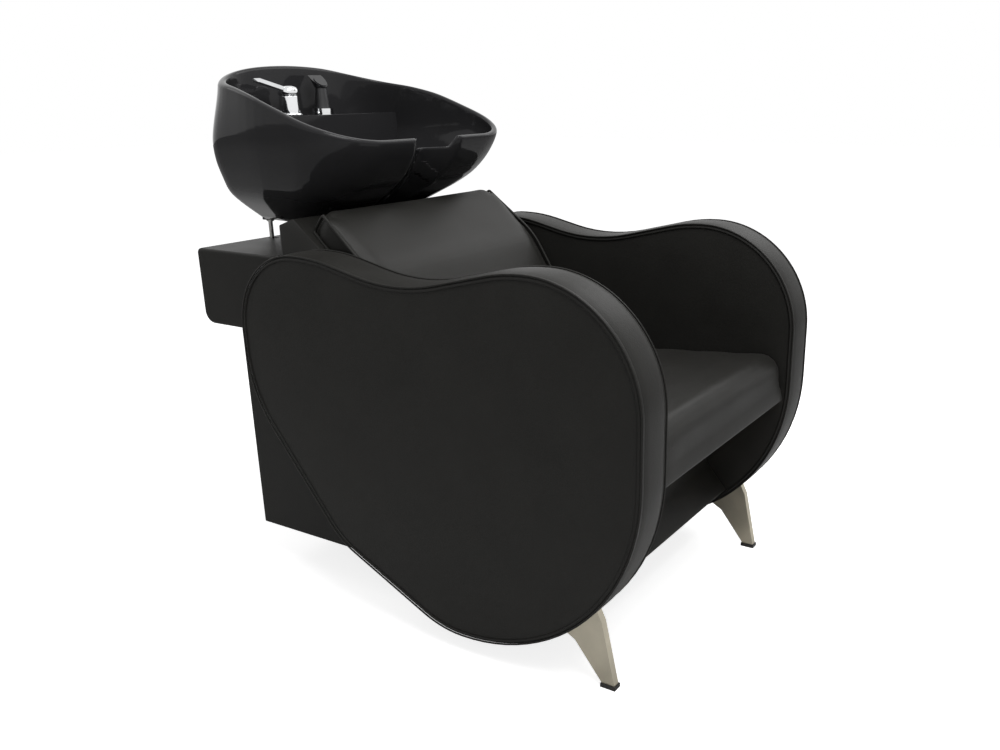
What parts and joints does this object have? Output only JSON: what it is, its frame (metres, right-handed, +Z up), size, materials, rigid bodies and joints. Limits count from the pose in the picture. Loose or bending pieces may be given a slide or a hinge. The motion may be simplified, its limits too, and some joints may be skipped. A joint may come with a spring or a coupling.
{
  "type": "hair washing bed",
  "caption": "Salon backwash chair: wave-shaped padded arms, seat and reclined back between them, tilting gloss ceramic bowl over a rear shelf and plumbing cover, angled blade legs.",
  "frame": {"origin": "on the floor, at the middle of the overall width and length", "axes": "+Z up; the seat faces -Y and the bowl is at +Y; +X is the sitter's left"},
  "size_m": [0.7, 1.03, 0.9858],
  "materials": {
    "leatherette": "soft grained black upholstery leatherette",
    "ceramic": "high-gloss black glaze",
    "champagne_steel": "polished champagne-tinted steel",
    "timber": "planed softwood and plywood",
    "black_board": "black covered board",
    "black_steel": "black powder coat",
    "zinc_steel": "bright zinc plated steel",
    "chrome": "polished chrome plate",
    "black_plastic": "moulded black plastic",
    "white_plastic": "white waste fitting plastic",
    "bronze": "plain sintered bronze",
    "rubber": "black rubber"
  },
  "bodies": {
    "base": {"left_arm_band": "leatherette", "left_arm_outer_panel": "leatherette", "left_arm_inner_panel": "leatherette", "left_arm_core": "timber", "left_front_leg": "champagne_steel", "right_arm_band": "leatherette", "right_arm_outer_panel": "leatherette", "right_arm_inner_panel": "leatherette", "right_arm_core": "timber", "right_front_leg": "champagne_steel", "leg_bolts": "zinc_steel", "front_leg_pads": "rubber", "seat_cushion": "leatherette", "seat_board": "timber", "front_cross_tube": "black_steel", "rear_cross_tube": "black_steel", "frame_screws": "zinc_steel", "kick_panel": "leatherette", "underside_board": "black_board", "back_block": "leatherette", "back_cushion": "leatherette", "rear_shelf": "leatherette", "plumbing_cover": "leatherette", "hinge_frame_leaves": "zinc_steel", "hinge_pins": "zinc_steel", "magnet_catch": "black_plastic", "rear_rail": "black_steel", "rear_feet": "black_steel", "rear_foot_pads": "rubber", "pivot_ears": "black_steel", "ear_screws": "zinc_steel", "pivot_shaft": "zinc_steel"},
    "bowl_unit": {"bowl": "ceramic", "waste_flange": "chrome", "waste_backnut": "white_plastic", "waste_slip_nut": "white_plastic", "waste_pipe": "white_plastic", "bowl_carrier": "black_steel", "carrier_bolts": "zinc_steel", "pivot_bushes": "bronze", "stay_rods": "zinc_steel", "rod_nuts": "zinc_steel", "mixer_base": "chrome", "mixer_body": "chrome", "mixer_nut": "zinc_steel", "shower_collar": "chrome", "collar_nut": "zinc_steel"},
    "mixer_head": {"mixer_cap": "chrome", "lever_pin": "zinc_steel"},
    "mixer_handle": {"mixer_lever": "chrome"},
    "shower": {"hand_shower": "black_plastic", "spray_face": "black_plastic"},
    "strainer_basket": {"strainer": "chrome"},
    "door": {"access_door": "leatherette", "hinge_door_leaves": "zinc_steel", "door_pull": "black_plastic", "catch_striker": "zinc_steel"},
    "knob": {"clamp_knob": "black_plastic"}
  },
  "joints": [
    {"name": "bowl_tilt", "type": "hinge", "parent": "base", "child": "bowl_unit", "pos_m": [0, 0.318, 0.668], "axis": [-1, 0, 0], "range_deg": [0, 10]},
    {"name": "clamp_knob_turn", "type": "hinge", "parent": "base", "child": "knob", "pos_m": [0, 0.318, 0.668], "axis": [1, 0, 0], "range_deg": [0, 180]},
    {"name": "mixer_swivel", "type": "hinge", "parent": "bowl_unit", "child": "mixer_head", "pos_m": [-0.05, 0.456, 0.93], "axis": [0, 0, 1], "range_deg": [-5, 60]},
    {"name": "mixer_lift", "type": "hinge", "parent": "mixer_head", "child": "mixer_handle", "pos_m": [-0.05, 0.456, 0.9364], "axis": [0, 1, 0], "range_deg": [0, 20]},
    {"name": "shower_lift", "type": "slide", "parent": "bowl_unit", "child": "shower", "axis": [0, 0, 1], "range_m": [0, 0.11]},
    {"name": "strainer_lift", "type": "slide", "parent": "bowl_unit", "child": "strainer_basket", "axis": [0, 0, 1], "range_m": [0, 0.06]},
    {"name": "door_swing", "type": "hinge", "parent": "base", "child": "door", "pos_m": [-0.189, 0.4153, 0.29], "axis": [0, 0, 1], "range_deg": [0, 110]}
  ]
}
